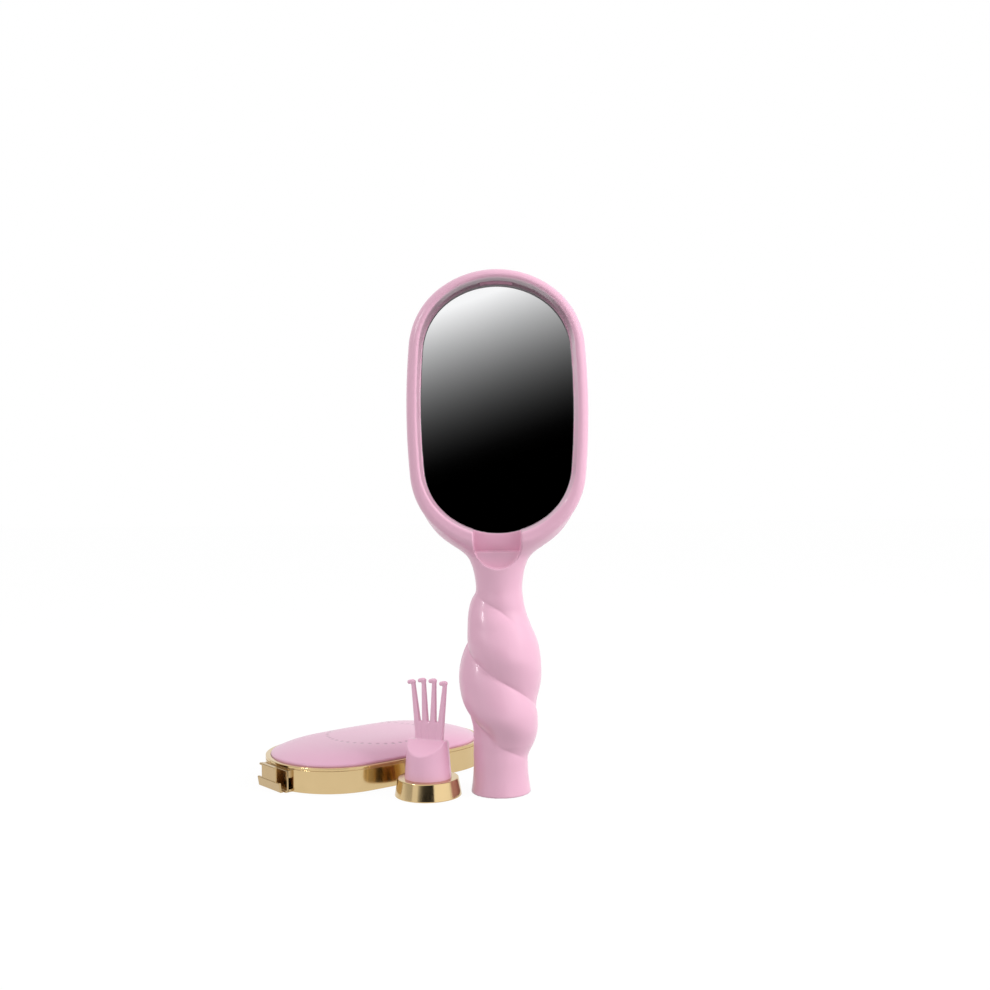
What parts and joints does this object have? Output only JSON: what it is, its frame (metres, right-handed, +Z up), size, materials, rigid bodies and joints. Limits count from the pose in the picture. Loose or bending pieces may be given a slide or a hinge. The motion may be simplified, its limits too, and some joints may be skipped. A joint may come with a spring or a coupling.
{
  "type": "bristle hair brush",
  "caption": "Oval hair brush with a bristle cushion behind, a recessed mirror in front, a twisted handle, a domed clip-on mirror cover and a cleaning rake that plugs into the handle.",
  "frame": {"origin": "middle of the handle's foot, at the mouth of the rake's socket, on the surface it stands on", "axes": "+Z up along the handle to the head, the mirror faces -Y and the bristles face +Y"},
  "size_m": [0.1509, 0.1121, 0.23],
  "materials": {
    "pink_plastic": "satin moulded pink plastic",
    "inner_plastic": "plain moulded plastic inside the brush",
    "mirror": "silvered glass",
    "foam_tape": "closed-cell foam",
    "cushion_rubber": "matt soft rubber",
    "boar_bristle": "dark natural bristle",
    "nylon": "smooth nylon",
    "gold_trim": "polished, pale gold",
    "gold_spring": "polished spring strip, pale gold",
    "screw_steel": "zinc plated"
  },
  "bodies": {
    "brush": {"front_shell": "pink_plastic", "rear_shell": "pink_plastic", "grip_front": "pink_plastic", "grip_rear": "pink_plastic", "socket_sleeve": "inner_plastic", "mirror_glass": "mirror", "mirror_tape": "foam_tape", "carrier_plate": "inner_plastic", "bristle_cushion": "cushion_rubber", "cushion_frame": "pink_plastic", "boar_tufts": "boar_bristle", "nylon_pins": "nylon"},
    "cover": {"cover_rim": "gold_trim", "cover_plate": "pink_plastic", "cover_tray": "pink_plastic", "clip_bracket": "gold_spring"},
    "latch": {"latch_tab": "gold_spring"},
    "rake": {"rake_foot": "gold_trim", "rake_comb": "pink_plastic", "rake_screw": "screw_steel"}
  },
  "joints": [
    {"name": "cover_lift", "type": "slide", "parent": "brush", "child": "cover", "axis": [0, 0, 1], "range_m": [0, 0.08]},
    {"name": "latch_press", "type": "hinge", "parent": "cover", "child": "latch", "pos_m": [-0.1031, 0.00803, 0.0004], "axis": [-0.6508, 0.7593, 0], "range_deg": [0, 8], "stiffness_Nm_per_rad": 0.06},
    {"name": "rake_lift", "type": "slide", "parent": "brush", "child": "rake", "axis": [0, 0, 1], "range_m": [0, 0.04]}
  ]
}
